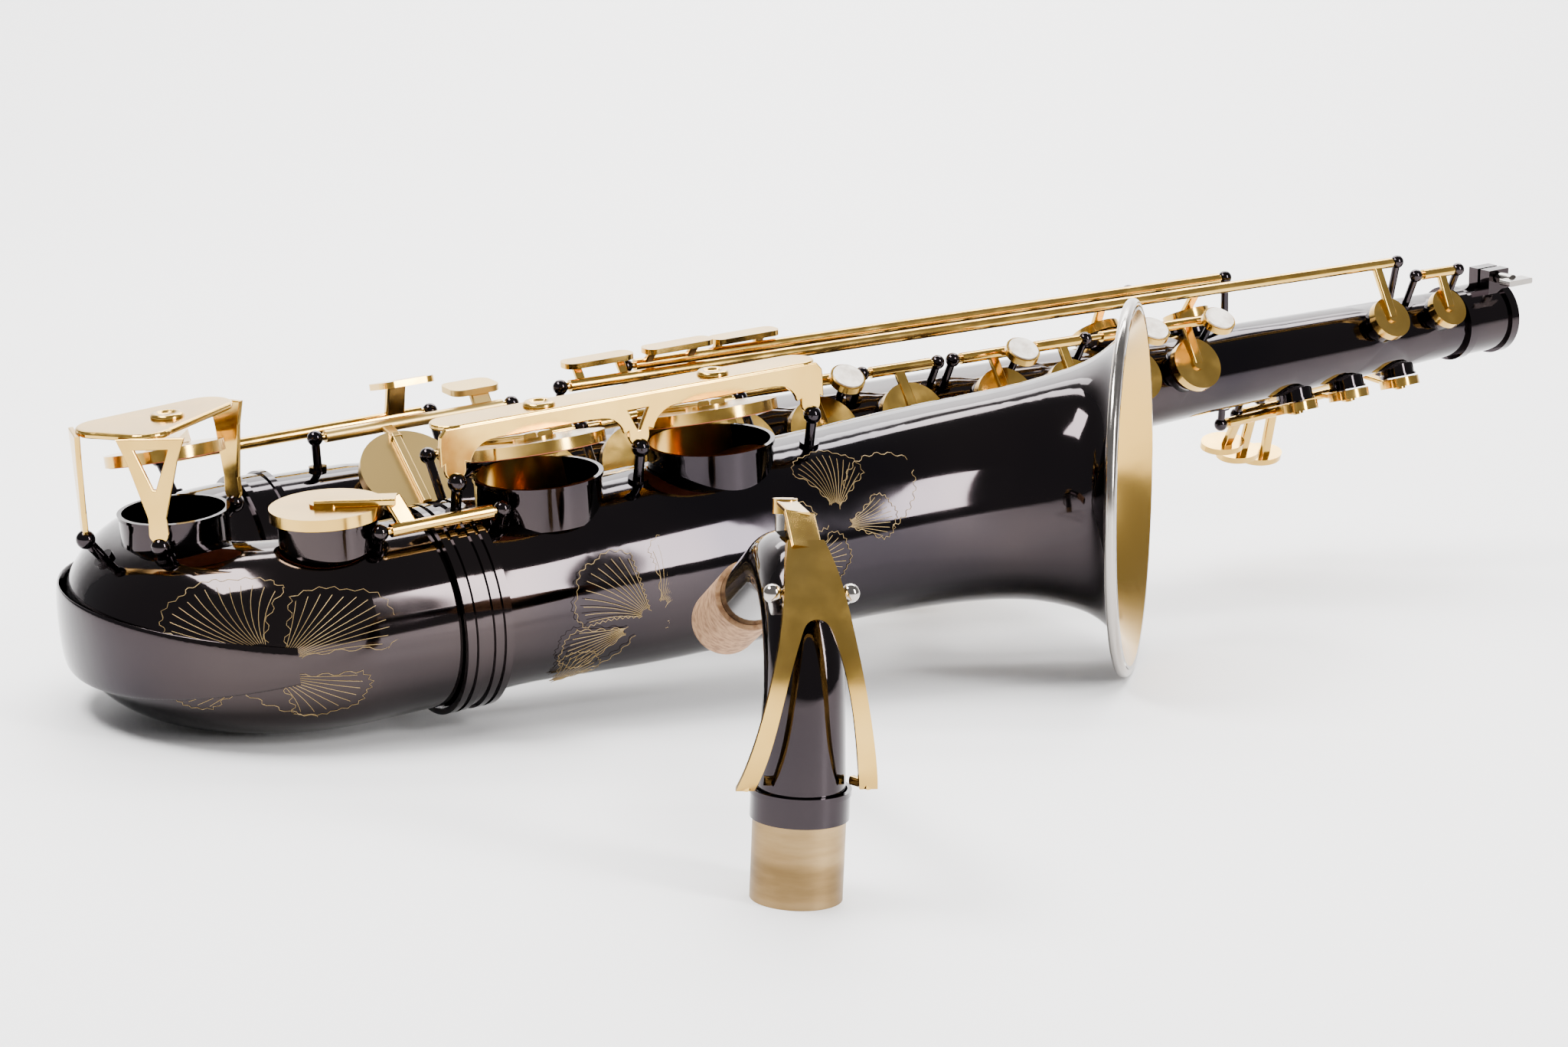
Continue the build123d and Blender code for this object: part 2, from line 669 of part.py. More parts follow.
def post_under(top, ball, stem, base):
    """Ball post turned about its own axis: foot disc, stem and ball."""
    foot = surface_below(top)
    length = (top - foot).length
    section_plane = plane_at(foot, top - foot)
    neck = length - sqrt(ball * ball - stem * stem)
    with BuildSketch(Plane(foot, section_plane.x_dir, section_plane.x_dir.cross(section_plane.z_dir))) as section:
        with BuildLine():
            Polyline((0, 0), (base, 0), (base, 1.6), (stem, 1.6), (stem, neck))
            ThreePointArc((stem, neck), (ball, length), (0, length + ball))
            Line((0, length + ball), (0, 0))
        make_face()
    revolve(section.sketch, axis=Axis(foot, top - foot))


with BuildPart() as key_posts:
    for point in posts:
        post_under(point, POST_BALL, 1.5, 3.1)
    for place in GUARD_LEGS:
        post_under(Vector(place, GUARD_Y - 3.5, 42.5), GUARD_BALL, 1.7, 3.3)
    for x, y in C_GUARD_LEGS:
        post_under(Vector(x, y, 31.0), GUARD_BALL, 1.7, 3.3)
keep(key_posts, "key_posts")

# Plate that shields the bow's outer bend.
with BuildPart() as bow_guard_plate:
    for turn in range(20, 161, 20):
        swell = sin(radians((turn - 10) * 180 / 160))
        at = bow_plane(turn)
        out = Vector(-sin(radians(turn)), cos(radians(turn)), 0)
        middle = at.origin + out * (bow_radius(turn) + 0.15)
        with BuildSketch(Plane(origin=middle, x_dir=(0, 0, 1), z_dir=at.z_dir)):
            Ellipse(4.0 + 9.0 * swell, 1.3)
    loft()
    bow_solid(-0.05, mode=Mode.SUBTRACT)
keep(bow_guard_plate, "bow_guard_plate")

with BuildPart() as bell_brace:
    x = 205.0
    near = Vector(x, -22.0, -9.0)
    far = Vector(x, -52.6, -9.0)
    with BuildSketch(plane_at((near + far) * 0.5 - Vector(0, 0, 3), (0, 0, 1))):
        Circle(11.5)
        Circle(8.0, mode=Mode.SUBTRACT)
    extrude(amount=6)
    rod_between(near, near - Vector(0, 8.0, 0), 4.5)
    rod_between(far + Vector(0, 8.0, 0), far, 4.5)
keep(bell_brace, "bell_brace")

with BuildPart() as strap_ring:
    x = 262.0
    foot = back_point(x, 0, 0.3)
    rod_between(foot, foot + Vector(0, 2.0, 0), 6.0)
    with BuildSketch(plane_at(foot + Vector(0, 8.5, -1.7), (0, 0, 1))):
        Circle(7.5)
        Circle(4.5, mode=Mode.SUBTRACT)
    extrude(amount=3.4)
keep(strap_ring, "strap_ring")
STRAP = foot + Vector(0, 8.5, 0)

with BuildPart() as thumb_hook:
    x = 168.0
    with BuildSketch(plane_at(back_point(x, 0, 0.4), (0, 1, 0))):
        RectangleRounded(26, 13, 4)
    extrude(amount=2.2)
    bar_between(back_point(x, 0, 1.5), back_point(x + 3, 0, 20.0), 3.0, 11.0)
    bar_between(back_point(x + 2, 0, 18.8), back_point(x - 12, 0, 24.0), 3.0, 11.0)
keep(thumb_hook, "thumb_hook")

with BuildPart() as thumb_rest:
    disc_at(back_point(374.0, 4.0, 0.4), (0, 1, 0), 8.5, 3.0)
    disc_at(back_point(374.0, 4.0, 3.4), (0, 1, 0), 7.0, 3.4)
keep(thumb_rest, "thumb_rest")

# Bracket of the little-finger table: the outermost edge on the left side, which the horn rests on.
TABLE_FLOOR = -74.9
TABLE_EDGE_Y = 44.0
with BuildPart() as table_bracket:
    for place in (303.5, 325.2):
        lean = Vector(0, 0.95, -0.32).normalized()
        root = Vector(place, 0, 0) + lean * (body_radius(place) + 0.3)
        elbow = root + lean * 14.0
        bar_between(root, elbow, 4.0, 3.0)
        bar_between(elbow - lean * 1.5, Vector(place, TABLE_EDGE_Y, TABLE_FLOOR + 2), 4.0, 3.0)
    with BuildSketch(Plane.XY.offset(TABLE_FLOOR)):
        with Locations((314.5, TABLE_EDGE_Y)):
            RectangleRounded(44, 10, 4.5)
    extrude(amount=3.0)
keep(table_bracket, "table_bracket")

# ---------------------------------------------------------------- lay the horn on the floor
LAY = Location((0, 0, 0), (0, -TILT, 0)) * Location((0, 0, 0), (ROLL, 0, 0))
horn = {name: LAY * piece for name, piece in pieces.items()}
floor = min(piece.bounding_box().min.Z for piece in horn.values())
RAISE = Location((0, 0, -floor))
laid = {name: RAISE * piece for name, piece in horn.items()}

# ---------------------------------------------------------------- neck, built standing at its own place
pieces = {}
HEAD = Vector(cos(radians(NECK_HEADING)), sin(radians(NECK_HEADING)), 0)
FOOT = Vector(NECK_FOOT[0], NECK_FOOT[1], 0)
COLLAR_TOP = TENON_LENGTH + 8.0
BEND_START = 52.0
BEND_RADIUS = 30.0
BEND_TURN = 113.0
NECK_END = 82.0


def neck_point(reach, height, side=0.0):
    """Point beside the neck: reach towards the mouthpiece end, height above the floor, and to one side."""
    return FOOT + HEAD * reach + Vector(0, 0, height) + Vector(-HEAD.Y, HEAD.X, 0) * side


def neck_plane(share):
    """Plane square to the neck's centre line; share runs 0-1 up the stem, 1-2 round the bend, 2-3 to the end."""
    if share <= 1:
        return plane_at(neck_point(0, TENON_LENGTH + (BEND_START - TENON_LENGTH) * share), (0, 0, 1))
    turn = radians(BEND_TURN * min(share - 1, 1))
    centre = neck_point(BEND_RADIUS * (1 - cos(turn)), BEND_START + BEND_RADIUS * sin(turn))
    way = HEAD * sin(turn) + Vector(0, 0, cos(turn))
    centre = centre + way * NECK_END * max(share - 2, 0)
    return plane_at(centre, way)


def neck_solid(shrink, mode=Mode.ADD):
    """Neck tube, tapering from the collar to the mouthpiece end: stem, bend and straight end."""
    for shares in ((0, 1), [1 + step / 8 for step in range(9)], (2, 3)):
        loft([circle_on(neck_plane(share), 12.2 - 4.2 * share / 3 - shrink) for share in shares], mode=mode)


with BuildPart() as neck_tube:
    neck_solid(0)
    neck_solid(WALL, mode=Mode.SUBTRACT)
keep(neck_tube, "neck_tube")

with BuildPart() as neck_tenon:
    rod_between(neck_point(0, 0), neck_point(0, TENON_LENGTH), TENON_RADIUS)
    rod_between(neck_point(0, -1), neck_point(0, TENON_LENGTH + 1), TENON_RADIUS - 1.2, mode=Mode.SUBTRACT)
keep(neck_tenon, "neck_tenon")

with BuildPart() as neck_collar:
    rod_between(neck_point(0, TENON_LENGTH + 0.02), neck_point(0, COLLAR_TOP), 13.1)
    rod_between(neck_point(0, COLLAR_TOP - 1.4), neck_point(0, COLLAR_TOP), 13.4)
    rod_between(neck_point(0, TENON_LENGTH), neck_point(0, COLLAR_TOP + 1), 12.25, mode=Mode.SUBTRACT)
keep(neck_collar, "neck_collar")

END = neck_plane(3)
with BuildPart() as neck_cork:
    start = END.origin - END.z_dir * 42
    rod_between(start, END.origin - END.z_dir * 1.0, 10.2)
    neck_solid(-0.05, mode=Mode.SUBTRACT)
keep(neck_cork, "neck_cork")

PIP = neck_plane(1.85)
PIP_UP = (Vector(0, 0, 1) - PIP.z_dir * PIP.z_dir.Z).normalized()
ACROSS = Vector(-HEAD.Y, HEAD.X, 0)
PIVOT = neck_point(-3.4, 82.1)
PIVOT_REACH = 10.2
with BuildPart() as neck_fittings:
    base = PIP.origin + PIP_UP * 9.0
    rod_between(base, base + PIP_UP * 4.6, 2.6)
    for side in (-1, 1):
        rod_between(neck_point(6, 74, side * 7.0), PIVOT + ACROSS * side * PIVOT_REACH, 1.6)
        ball_at(PIVOT + ACROSS * side * PIVOT_REACH, 2.5)
    rod_between(base - PIP_UP, base + PIP_UP * 5, 1.2, mode=Mode.SUBTRACT)
    neck_solid(-0.05, mode=Mode.SUBTRACT)
    rod_between(PIVOT - ACROSS * PIVOT_REACH, PIVOT + ACROSS * PIVOT_REACH, ROD)
keep(neck_fittings, "neck_fittings")

# Neck octave key: (reach, height) of its outer face, and (half width, height) of its outer and inner edges.
PLATE_CORE = (22.0, 58.0)
PLATE_THICK = 1.5
PLATE_SIDE = ((-8.0, 31.0), (-13.6, 40.0), (-16.6, 52.0), (-16.2, 64.0), (-11.9, 76.5), (-4.2, 86.5), (6.0, 94.2))
PLATE_OUTER = ((18.7, 31.2), (15.2, 47.0), (12.0, 62.0), (9.0, 77.0), (6.8, 88.0), (4.2, 95.5))
PLATE_INNER = ((13.9, 31.2), (10.6, 47.0), (7.6, 62.0), (4.6, 72.0))
SLOT_TOP = (0.0, 77.0)


def toward_core(point):
    """Point moved from the plate's outer face to its inner face."""
    way = Vector(PLATE_CORE[0] - point[0], PLATE_CORE[1] - point[1]).normalized() * PLATE_THICK
    return (point[0] + way.X, point[1] + way.Y)


with BuildPart() as neck_octave_key:
    with BuildSketch(Plane(origin=FOOT, x_dir=HEAD, z_dir=-ACROSS)) as side_view:
        with BuildLine():
            near = Spline(*PLATE_SIDE)
            far = Spline(*[toward_core(point) for point in PLATE_SIDE])
            Line(near @ 0, far @ 0)
            Line(near @ 1, far @ 1)
        make_face()
    extrude(side_view.sketch, amount=20, both=True)
    with BuildSketch(Plane(origin=FOOT, x_dir=ACROSS, z_dir=HEAD)) as front_view:
        with BuildLine():
            edge = Spline(*PLATE_OUTER)
            slot = Spline(*PLATE_INNER)
            crown = Spline(slot @ 1, SLOT_TOP, tangents=(slot % 1, (-1, 0)))
            Line(edge @ 0, slot @ 0)
            Line(edge @ 1, (0, 95.5))
            Line((0, 95.5), SLOT_TOP)
        make_face()
        mirror(about=Plane.YZ)
    extrude(front_view.sketch, amount=60, both=True, mode=Mode.INTERSECT)
    bar_between(neck_point(4.0, 92.2), neck_point(16.0, 99.2), 8.4, 1.5)
    bar_between(neck_point(15.0, 99.0), PIP.origin + PIP_UP * 17.2 + HEAD * 1.5, 5.6, 1.5)
    rod_between(PIP.origin + PIP_UP * 14.0, PIP.origin + PIP_UP * 18.0, 3.4)
    for side in (-1, 1):
        bar_between(neck_point(-8.6, 32.4, side * 16.4), neck_point(-3.2, 32.4, side * 12.9), 2.4, 2.4)
    rod_between(PIVOT - ACROSS * 7.4, PIVOT + ACROSS * 7.4, TUBE)
    for side in (-1, 1):
        ear = PIVOT + ACROSS * side * 5.6
        bar_between(ear, ear + HEAD * -2.6 + Vector(0, 0, 2.3), 2.6, 2.6)
    rod_between(PIVOT - ACROSS * 8, PIVOT + ACROSS * 8, BORE, mode=Mode.SUBTRACT)
keep(neck_octave_key, "neck_octave_key")
hinges["neck_octave"] = (PIVOT, ACROSS)

for name, piece in pieces.items():
    laid[name] = piece

# ---------------------------------------------------------------- put the origin under the middle and write
boxes = [piece.bounding_box() for piece in laid.values()]
LOW = Vector(min(box.min.X for box in boxes), min(box.min.Y for box in boxes), 0)
HIGH = Vector(max(box.max.X for box in boxes), max(box.max.Y for box in boxes), 0)
MIDDLE = Location((LOW + HIGH) * -0.5)
PLACE = MIDDLE * RAISE * LAY
if __name__ == "__main__":
    os.makedirs("parts", exist_ok=True)
    for name, piece in laid.items():
        finished = MIDDLE * piece
        finished.label = name
        export_step(finished, "parts/" + name + ".step")
    print(len(laid), "pieces; horn lowest points:",
          {name: round(laid[name].bounding_box().min.Z, 2) for name in ("bow", "bell_rim", "table_bracket")})
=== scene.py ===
"""Look of the black and gold alto saxophone lying on its side, with its neck standing in front of it."""
import json
from math import cos, pi, radians, sin

import bmesh
import bpy
from mathutils import Matrix, Vector


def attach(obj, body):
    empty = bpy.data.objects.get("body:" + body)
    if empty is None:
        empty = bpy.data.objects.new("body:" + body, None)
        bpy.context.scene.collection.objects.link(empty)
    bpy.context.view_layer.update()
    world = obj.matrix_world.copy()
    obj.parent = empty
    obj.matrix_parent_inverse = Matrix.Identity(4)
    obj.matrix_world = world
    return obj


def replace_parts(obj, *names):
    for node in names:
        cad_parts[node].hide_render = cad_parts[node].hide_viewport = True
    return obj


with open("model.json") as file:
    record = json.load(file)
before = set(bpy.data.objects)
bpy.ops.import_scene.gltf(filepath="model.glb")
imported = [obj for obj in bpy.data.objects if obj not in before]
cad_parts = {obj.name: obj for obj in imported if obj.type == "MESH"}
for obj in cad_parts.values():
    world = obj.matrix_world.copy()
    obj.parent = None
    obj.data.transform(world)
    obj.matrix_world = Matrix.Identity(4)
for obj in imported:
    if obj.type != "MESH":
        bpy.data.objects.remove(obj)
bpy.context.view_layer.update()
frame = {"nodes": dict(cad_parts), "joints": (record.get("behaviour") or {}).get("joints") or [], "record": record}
nodes = frame["nodes"]
record = frame["record"]

# ---------------------------------------------------------------- horn frame, in metres
TILT, ROLL = 6.94, 3.0
HORN_ORIGIN = (-0.24778, 0.127293, 0.037589)
PLACE = (Matrix.Translation(HORN_ORIGIN) @ Matrix.Rotation(radians(-TILT), 4, "Y")
         @ Matrix.Rotation(radians(ROLL), 4, "X"))
BELL_Y = -0.086
BELL_FOOT, BELL_STRAIGHT, BELL_LENGTH = 0.034, 0.142, 0.258
BELL_OUTLINE = ((0.0, 0.0310), (0.060, 0.0318), (0.120, 0.0328), (0.165, 0.0340), (0.200, 0.0358), (0.222, 0.0384),
                (0.236, 0.0420), (0.246, 0.0470), (0.2525, 0.0534), (0.256, 0.0588), (0.258, 0.0630))
MOUTH_TURN, BEND_POWER, AXIS_STEPS = 43.5, 1.84, 40
BODY_LENGTH, FOOT_R, TOP_R = 0.545, 0.027, 0.0136


PROUD = 0.00003  # how far engraved lines stand off the tube


def body_radius(x):
    return FOOT_R + (TOP_R - FOOT_R) * x / BODY_LENGTH


# ---------------------------------------------------------------- materials
def principled(name, colour, metal=0.0, rough=0.4, **more):
    """A material with its Principled shader; more sets other inputs by name."""
    m = bpy.data.materials.new(name)
    m.use_nodes = True
    b = m.node_tree.nodes["Principled BSDF"]
    b.inputs["Base Color"].default_value = (*colour, 1)
    b.inputs["Metallic"].default_value = metal
    b.inputs["Roughness"].default_value = rough
    for key, value in more.items():
        b.inputs[key.replace("_", " ")].default_value = value
    return m, m.node_tree, b


def noise(tree, scale, detail=4.0, stretch=(1, 1, 1)):
    """Noise texture on object coordinates; returns its value socket."""
    where = tree.nodes.new("ShaderNodeTexCoord")
    mapping = tree.nodes.new("ShaderNodeMapping")
    mapping.inputs["Scale"].default_value = stretch
    n = tree.nodes.new("ShaderNodeTexNoise")
    n.inputs["Scale"].default_value = scale
    n.inputs["Detail"].default_value = detail
    tree.links.new(where.outputs["Object"], mapping.inputs["Vector"])
    tree.links.new(mapping.outputs["Vector"], n.inputs["Vector"])
    return n.outputs["Fac"]


def ramp(tree, value, stops, target):
    """Colour ramp from a value to an input; stops are (place, colour)."""
    r = tree.nodes.new("ShaderNodeValToRGB")
    while len(r.color_ramp.elements) < len(stops):
        r.color_ramp.elements.new(0.5)
    for e, (at, colour) in zip(r.color_ramp.elements, stops):
        e.position = at
        e.color = (*colour, 1)
    tree.links.new(value, r.inputs["Fac"])
    tree.links.new(r.outputs["Color"], target)


def span(tree, value, low, high, target):
    """Value spread between two numbers, sent to an input."""
    r = tree.nodes.new("ShaderNodeMapRange")
    r.inputs["From Min"].default_value = 0.3
    r.inputs["From Max"].default_value = 0.7
    r.inputs["To Min"].default_value = low
    r.inputs["To Max"].default_value = high
    tree.links.new(value, r.inputs["Value"])
    tree.links.new(r.outputs["Result"], target)


def bump(tree, b, value, strength, distance=0.0002):
    n = tree.nodes.new("ShaderNodeBump")
    n.inputs["Strength"].default_value = strength
    n.inputs["Distance"].default_value = distance
    tree.links.new(value, n.inputs["Height"])
    tree.links.new(n.outputs["Normal"], b.inputs["Normal"])


black, t, b = principled("black_nickel_look", (0.036, 0.030, 0.033), 1.0, 0.06)
ramp(t, noise(t, 9, 3), ((0.35, (0.028, 0.024, 0.028)), (0.65, (0.048, 0.038, 0.038))), b.inputs["Base Color"])
span(t, noise(t, 60, 5), 0.045, 0.09, b.inputs["Roughness"])
gold, t, b = principled("gold_look", (0.86, 0.62, 0.24), 1.0, 0.16)
ramp(t, noise(t, 40, 5), ((0.3, (0.60, 0.36, 0.075)), (0.7, (0.72, 0.46, 0.12))), b.inputs["Base Color"])
span(t, noise(t, 120, 6), 0.10, 0.24, b.inputs["Roughness"])
satin, t, b = principled("satin_gold_look", (0.62, 0.42, 0.14), 1.0, 0.36)
inside, t, b = principled("bell_inside_look", (0.66, 0.40, 0.09), 1.0, 0.2)
silver, t, b = principled("silvery_look", (0.40, 0.37, 0.34), 1.0, 0.13)
span(t, noise(t, 90, 5), 0.08, 0.22, b.inputs["Roughness"])
brass, t, b = principled("bare_brass_look", (0.5, 0.37, 0.19), 1.0, 0.42)
tarnish = ((0.25, (0.13, 0.08, 0.03)), (0.5, (0.27, 0.175, 0.075)), (0.75, (0.42, 0.29, 0.14)))
ramp(t, noise(t, 26, 7, (1, 1, 5)), tarnish, b.inputs["Base Color"])
bump(t, b, noise(t, 300, 3, (0.4, 0.4, 14)), 0.25, 0.0001)
steel, t, b = principled("steel_look", (0.60, 0.38, 0.10), 1.0, 0.2)
cork, t, b = principled("cork_look", (0.55, 0.36, 0.2), 0.0, 0.85)
ramp(t, noise(t, 420, 5), ((0.35, (0.16, 0.075, 0.03)), (0.6, (0.34, 0.19, 0.09))), b.inputs["Base Color"])
pad, t, b = principled("pad_look", (0.42, 0.10, 0.035), 0.0, 0.5)
bump(t, b, noise(t, 500, 4), 0.3)
pearl, t, b = principled("pearl_look", (0.88, 0.84, 0.78), 0.0, 0.18, Coat_Weight=0.6)
ramp(t, noise(t, 190, 4), ((0.35, (0.50, 0.43, 0.36)), (0.6, (0.76, 0.70, 0.62))), b.inputs["Base Color"])
plastic, t, b = principled("black_plastic_look", (0.012, 0.012, 0.013), 0.0, 0.25)
line_gold, t, b = principled("engraved_look", (0.34, 0.24, 0.11), 1.0, 0.45)

LOOKS = {"black_nickel": black, "gold_lacquer": gold, "bare_brass": brass, "silvery_nickel": silver, "steel": steel,
         "cork": cork, "pad_leather": pad, "pearl": pearl, "gloss_black_plastic": plastic}
for part in record["subparts"]:
    mesh = nodes[part["node"]].data
    mesh.materials.clear()
    mesh.materials.append(LOOKS[part["material_slot"]])
nodes["low_eb_key"].data.materials[0] = satin


# ---------------------------------------------------------------- mesh helpers
def piece(name, bm, look, body, smooth=True, move=PLACE):
    """Bmesh in the horn frame becomes an object that rides on a body."""
    mesh = bpy.data.meshes.new(name)
    bm.to_mesh(mesh)
    bm.free()
    mesh.transform(move)
    for face in mesh.polygons:
        face.use_smooth = smooth
    obj = bpy.data.objects.new(name, mesh)
    bpy.context.scene.collection.objects.link(obj)
    mesh.materials.append(look)
    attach(obj, body)
    return obj


def lathe(bm, origin, way, profile, steps=32):
    """Turned form about an axis: profile is (distance along, radius)."""
    way = Vector(way).normalized()
    side = way.orthogonal().normalized()
    other = way.cross(side)
    rings = []
    spokes = [side * cos(2 * pi * i / steps) + other * sin(2 * pi * i / steps) for i in range(steps)]
    for along, radius in profile:
        centre = Vector(origin) + way * along
        rings.append([bm.verts.new(centre + spoke * radius) for spoke in spokes])
    for a, c in zip(rings, rings[1:]):
        for i in range(steps):
            j = (i + 1) % steps
            bm.faces.new((a[i], a[j], c[j], c[i]))
    bm.faces.new(rings[0][::-1])
    bm.faces.new(rings[-1])


def strip(name, lines, radius, look, body, move=PLACE):
    """Many thin round lines as one curve object."""
    curve = bpy.data.curves.new(name, "CURVE")
    curve.dimensions = "3D"
    curve.bevel_depth = radius
    curve.bevel_resolution = 1
    for line in lines:
        spline = curve.splines.new("POLY")
        spline.points.add(len(line) - 1)
        for p, q in zip(spline.points, line):
            p.co = (*(move @ Vector(q)), 1)
    obj = bpy.data.objects.new(name, curve)
    bpy.context.scene.collection.objects.link(obj)
    curve.materials.append(look)
    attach(obj, body)
    return obj


# ---------------------------------------------------------------- bell: its axis, its outline and its gold inside
def bell_axis(d):
    """Centre of the bell's bore d metres along it, and its heading in radians away from the body tube."""
    x, y = BELL_FOOT + min(d, BELL_STRAIGHT), BELL_Y
    bend = BELL_LENGTH - BELL_STRAIGHT
    past = max(0.0, d - BELL_STRAIGHT)
    step = past / AXIS_STEPS
    for i in range(AXIS_STEPS):
        heading = radians(MOUTH_TURN) * ((i + 0.5) * step / bend) ** BEND_POWER
        x += step * cos(heading)
        y -= step * sin(heading)
    return Vector((x, y, 0)), radians(MOUTH_TURN) * (past / bend) ** BEND_POWER


def bell_radius(d):
    """Outer radius of the bell d metres along it, smoothed between the outline's points."""
    for i in range(len(BELL_OUTLINE) - 1):
        (d0, r0), (d1, r1) = BELL_OUTLINE[i], BELL_OUTLINE[i + 1]
        if d <= d1:
            before, after = BELL_OUTLINE[max(i - 1, 0)], BELL_OUTLINE[min(i + 2, len(BELL_OUTLINE) - 1)]
            m0 = (r1 - before[1]) / (d1 - before[0])
            m1 = (after[1] - r0) / (after[0] - d0)
            t, w = (d - d0) / (d1 - d0), d1 - d0
            return ((1 + 2 * t) * (1 - t) ** 2 * r0 + t * (1 - t) ** 2 * w * m0
                    + t * t * (3 - 2 * t) * r1 - t * t * (1 - t) * w * m1)
    return BELL_OUTLINE[-1][1]


def on_bell(d, v):
    """Point on the bell: d metres along it, v metres round it, 0 at the front."""
    centre, heading = bell_axis(d)
    a = v / 0.033
    front = Vector((-sin(heading), -cos(heading), 0))
    return centre + (front * cos(a) + Vector((0, 0, 1)) * sin(a)) * (bell_radius(d) + PROUD)


# The bell's inner wall is gold: faces that look towards the bell's own axis.
bell_mesh = nodes["bell"].data
bell_mesh.materials.append(inside)
back = PLACE.inverted()
turn_back = back.to_3x3()
AXIS_POINTS = [bell_axis(BELL_LENGTH * k / 60) for k in range(61)]
for face in bell_mesh.polygons:
    c = back @ face.center
    centre, heading = min(AXIS_POINTS,
                          key=lambda spot: abs((c - spot[0]).dot(Vector((cos(spot[1]), -sin(spot[1]), 0)))))
    out = c - centre
    if out.length < 0.075 and out.dot(turn_back @ face.normal) < -0.2 * out.length:
        face.material_index = 1


# ---------------------------------------------------------------- engraving on the bell and the bow
def on_bow(d, v):
    """Point on the bow's far end: d metres back from the bell joint, v metres round it."""
    turn = radians(180 - d / 0.043 * 57.3)
    centre = Vector((-0.043 * sin(turn), -0.043 + 0.043 * cos(turn), 0))
    out = Vector((-sin(turn), cos(turn), 0))
    a = v / 0.030
    r = 0.027 + 0.0034 * turn / pi + PROUD
    return centre + (out * cos(a) + Vector((0, 0, 1)) * sin(a)) * r


def zigzag(points, jag):
    """Points along a line, stepped to either side in turn, like a wriggled graver cut."""
    line = []
    for i in range(len(points) - 1):
        (u0, v0), (u1, v1) = points[i], points[i + 1]
        long = max(1e-6, ((u1 - u0) ** 2 + (v1 - v0) ** 2) ** 0.5)
        count = max(1, round(long / 0.0011))
        for k in range(count):
            s = k / count
            side = jag if (i + k) % 2 else -jag
            line.append((u0 + (u1 - u0) * s - (v1 - v0) / long * side,
                         v0 + (v1 - v0) * s + (u1 - u0) / long * side))
    return line


def fan(u0, v0, size, start, sweep, ribs=13, bend=0.35):
    """Fan-shaped petal: curved ribs from a base, closed by a wriggled outline with a scalloped end."""
    start, sweep = radians(start), radians(sweep)

    def at(s, q):
        reach = size * (0.80 + 0.20 * sin(pi * s) + 0.045 * abs(sin(3 * pi * s)))
        a = start + sweep * (s + bend * (q - 0.5) * (s - 0.2))
        return (u0 + reach * q * cos(a), v0 + reach * q * sin(a))

    lines = [[at((k + 0.5) / ribs, 0.16 + 0.74 * j / 7) for j in range(8)] for k in range(ribs)]
    edge = ([at(0, j / 8) for j in range(1, 9)] + [at(j / 24, 1) for j in range(25)]
            + [at(1, 1 - j / 8) for j in range(8)])
    return lines + [zigzag(edge, 0.00042)]


def stem(u0, v0, length, angle, curl):
    """Wriggled stalk that curls one way."""
    u, v, points = u0, v0, []
    for i in range(15):
        points.append((u, v))
        a = radians(angle + curl * i / 14)
        u, v = u + length / 14 * cos(a), v + length / 14 * sin(a)
    return [zigzag(points, 0.0005)]


# Each fan is (along, round, size, first angle, sweep, ribs); each stalk (along, round, length, angle, curl).
BELL_FANS = ((0.058, -0.008, 0.030, 105, 62, 12), (0.060, -0.006, 0.027, 30, 55, 11), (0.052, -0.010, 0.026, 172, 44, 9),
             (0.062, -0.012, 0.017, -30, 48, 8), (0.112, 0.000, 0.022, 62, 78, 13), (0.113, 0.001, 0.018, -42, 66, 10),
             (0.128, 0.014, 0.024, 40, 70, 13), (0.130, 0.010, 0.020, -25, 48, 10), (0.026, -0.034, 0.020, 20, 60, 9))
BELL_STALKS = ((0.064, -0.010, 0.050, -32, 95), (0.030, -0.030, 0.030, 10, 60), (0.090, -0.014, 0.045, 60, -55),
               (0.134, 0.022, 0.034, 60, -110), (0.148, 0.006, 0.024, 20, 70))
BOW_FANS = ((0.020, 0.004, 0.026, 20, 70, 13), (0.018, 0.002, 0.024, 100, 72, 13), (0.020, -0.002, 0.020, 190, 60, 9),
            (0.022, -0.002, 0.020, -50, 52, 9))
BOW_STALKS = ((0.012, -0.020, 0.030, 30, 50),)
GRAVER = 0.0001
for name, fans, stalks, surface in (("bell_engraving", BELL_FANS, BELL_STALKS, on_bell),
                                    ("bow_engraving", BOW_FANS, BOW_STALKS, on_bow)):
    lines = [line for values in fans for line in fan(*values)] + [line for values in stalks for line in stem(*values)]
    strip(name, [[surface(*p) for p in line] for line in lines], GRAVER, line_gold, "horn")


# ---------------------------------------------------------------- guards over the bell keys and the low C key
def plate(name, outlines, thick, bevel, look, body, place):
    """Flat plate with rounded edges: outlines are loops in its own plane, first the outside and then its holes."""
    curve = bpy.data.curves.new(name, "CURVE")
    curve.dimensions = "2D"
    curve.fill_mode = "BOTH"
    curve.extrude = thick / 2 - bevel
    curve.bevel_depth = bevel
    curve.bevel_resolution = 2
    curve.offset = -bevel
    for outline in outlines:
        spline = curve.splines.new("POLY")
        spline.points.add(len(outline) - 1)
        spline.use_cyclic_u = True
        for p, (u, v) in zip(spline.points, outline):
            p.co = (u, v, 0, 1)
    flat = bpy.data.objects.new(name + "_flat", curve)
    bpy.context.scene.collection.objects.link(flat)
    seen = flat.evaluated_get(bpy.context.evaluated_depsgraph_get())
    bm = bmesh.new()
    bm.from_mesh(seen.to_mesh())
    seen.to_mesh_clear()
    bpy.data.objects.remove(flat)
    bmesh.ops.remove_doubles(bm, verts=bm.verts, dist=0.00001)
    return piece(name, bm, look, body, smooth=False, move=PLACE @ place)


